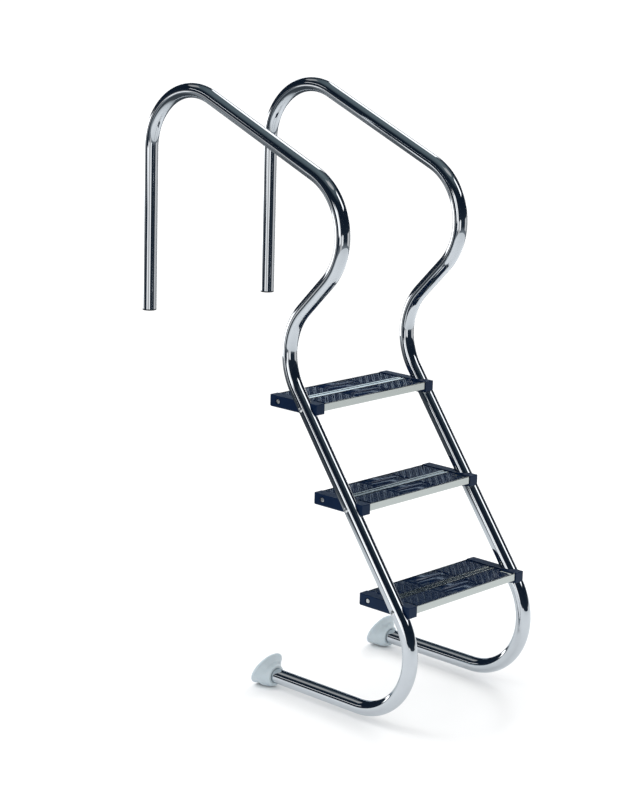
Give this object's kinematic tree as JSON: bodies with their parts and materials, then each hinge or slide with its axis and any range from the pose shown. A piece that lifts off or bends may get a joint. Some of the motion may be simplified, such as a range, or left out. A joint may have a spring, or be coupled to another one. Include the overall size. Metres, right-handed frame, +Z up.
{
  "type": "pool ladder",
  "caption": "Pool ladder with bent tube stringers that arch over the deck edge, an inclined flight of anti-slip treads with plastic end caps, and rubber bell feet that turn on the tubes.",
  "frame": {"origin": "centre of the left stringer's cut end, at the bottom of its deck leg; left is a climber's left when facing the pool wall", "axes": "+X to the right stringer, +Y from the pool towards the deck, +Z up along the deck legs"},
  "size_m": [0.612, 1.111, 1.7221],
  "materials": {
    "polished_steel": "mirror-polished stainless tube",
    "tray_steel": "satin stainless sheet",
    "fastener_steel": "bright stainless fasteners",
    "cap_plastic": "navy moulded plastic with a light sheen",
    "pad_plastic": "navy moulded plastic with fine grip texture",
    "plug_plastic": "dark moulded plastic",
    "foot_rubber": "translucent pale rubber"
  },
  "bodies": {
    "ladder": {"stringer_left": "polished_steel", "stringer_right": "polished_steel", "leg_plug_left": "plug_plastic", "leg_plug_right": "plug_plastic", "tread_bolts": "fastener_steel", "bolt_washers": "fastener_steel", "dome_nuts": "fastener_steel", "cap_screws": "fastener_steel", "cap_screw_nuts": "fastener_steel", "upper_tray": "tray_steel", "upper_pad_front": "pad_plastic", "upper_pad_rear": "pad_plastic", "upper_cap_left": "cap_plastic", "upper_cap_right": "cap_plastic", "middle_tray": "tray_steel", "middle_pad_front": "pad_plastic", "middle_pad_rear": "pad_plastic", "middle_cap_left": "cap_plastic", "middle_cap_right": "cap_plastic", "lower_tray": "tray_steel", "lower_pad_front": "pad_plastic", "lower_pad_rear": "pad_plastic", "lower_cap_left": "cap_plastic", "lower_cap_right": "cap_plastic"},
    "left_foot": {"foot_left": "foot_rubber"},
    "right_foot": {"foot_right": "foot_rubber"}
  },
  "joints": [
    {"name": "left_foot_turn", "type": "hinge", "parent": "ladder", "child": "left_foot", "pos_m": [0, -0.56515, -1.00055], "axis": [0, 1, 0], "continuous": true},
    {"name": "right_foot_turn", "type": "hinge", "parent": "ladder", "child": "right_foot", "pos_m": [0.5, -0.56515, -1.00055], "axis": [0, 1, 0], "continuous": true}
  ]
}
